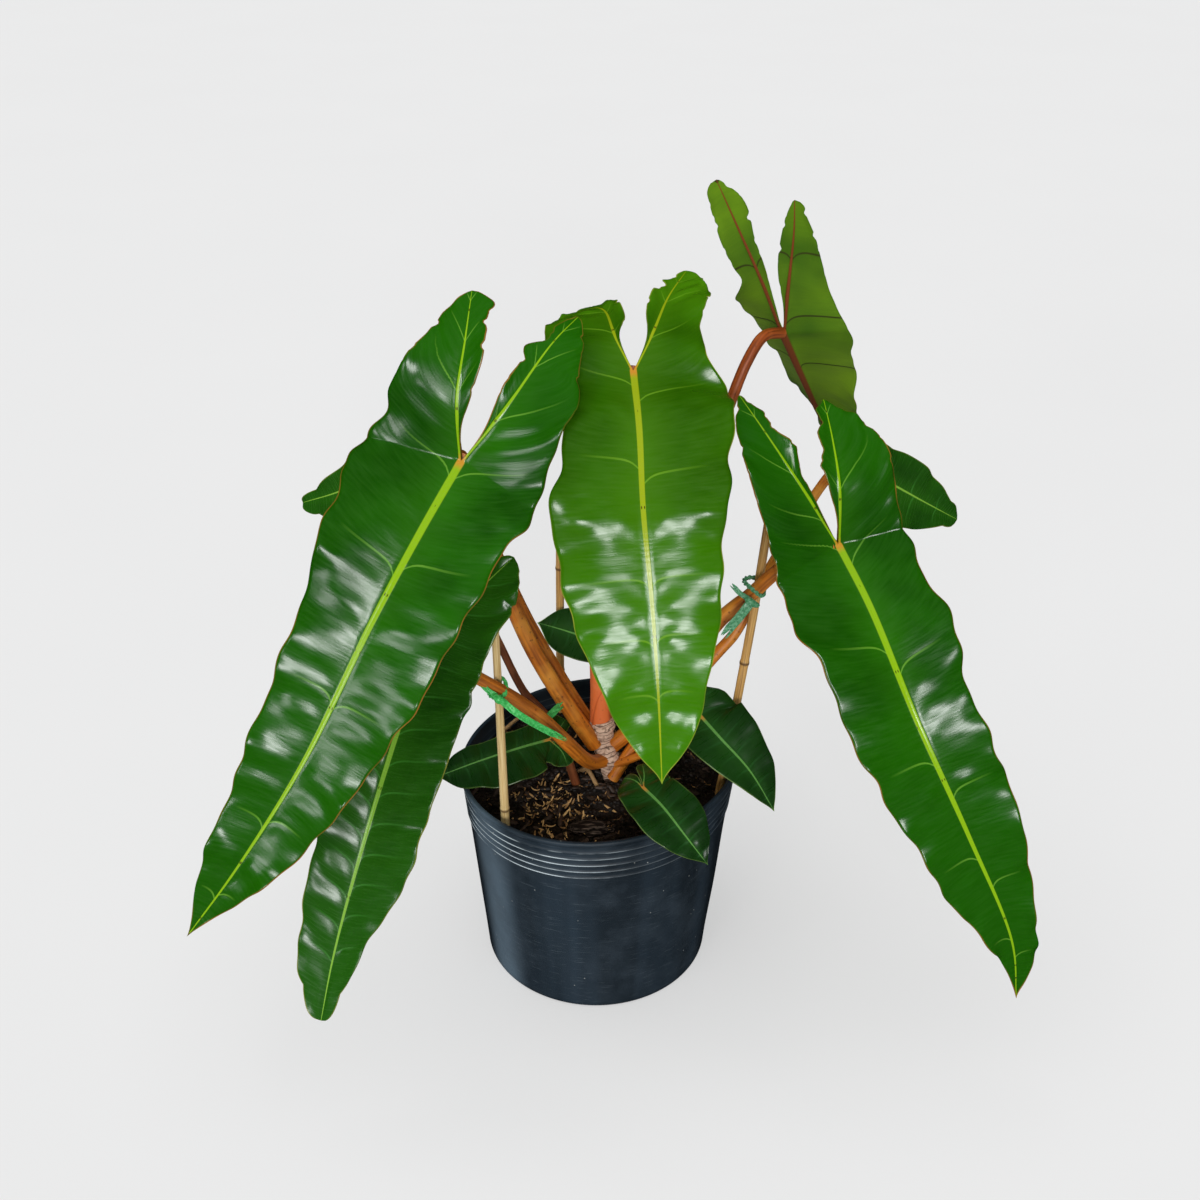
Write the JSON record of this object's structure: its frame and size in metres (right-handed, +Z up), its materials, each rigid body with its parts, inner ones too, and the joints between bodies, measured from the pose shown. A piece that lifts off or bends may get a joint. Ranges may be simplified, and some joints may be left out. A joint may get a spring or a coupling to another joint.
{
  "type": "potted philodendron billietiae",
  "caption": "Potted house plant with long strap-like, two-lobed glossy leaves arching out on orange stalks from a short stem, held by canes and ties in a round ribbed nursery pot.",
  "frame": {"origin": "centre of the pot's base, on the surface that it stands on", "axes": "+Z up, -Y towards the side that the picture shows, +X to the right in the picture"},
  "size_m": [0.5471, 0.4226, 0.5703],
  "materials": {
    "pot": "satin, scuffed and dusty",
    "compost": "rough, loose, moist",
    "stem": "dry, ringed bark",
    "bamboo": "satin, split cane with nodes",
    "leaf_bright": "glossy, waxy",
    "leaf_green": "glossy, waxy",
    "leaf_deep": "glossy, waxy",
    "leaf_small": "semi-gloss",
    "stalk_orange": "semi-gloss, finely ridged and speckled",
    "stalk_coral": "semi-gloss, finely ridged",
    "stalk_red": "semi-gloss",
    "raffia": "glossy ribbon, wrinkled",
    "dry_litter": "dry, matte"
  },
  "bodies": {
    "root": {"pot": "pot", "soil": "compost", "stem": "stem", "stick_left": "bamboo", "stick_middle": "bamboo", "stick_right": "bamboo", "leaf_left_front": "leaf_green", "leaf_centre": "leaf_bright", "leaf_right_front": "leaf_green", "leaf_left_low": "leaf_deep", "leaf_right_back": "leaf_green", "leaf_left_back": "leaf_deep", "leaf_right_far": "leaf_deep", "leaf_small_left": "leaf_small", "leaf_small_front": "leaf_small", "leaf_small_right": "leaf_small", "leaf_small_back": "leaf_small", "leaf_small_hidden": "leaf_small", "stalk_left_front": "stalk_orange", "stalk_centre": "stalk_coral", "stalk_right_front": "stalk_orange", "stalk_left_low": "stalk_orange", "stalk_right_back": "stalk_coral", "stalk_left_back": "stalk_orange", "stalk_right_far": "stalk_orange", "stalk_small_left": "stalk_red", "stalk_small_front": "stalk_red", "stalk_small_right": "stalk_orange", "stalk_small_back": "stalk_orange", "stalk_small_hidden": "stalk_red", "tie_left": "raffia", "tie_right": "raffia", "tie_left_strip": "raffia", "twig": "dry_litter", "dry_stalk": "dry_litter"}
  },
  "joints": []
}
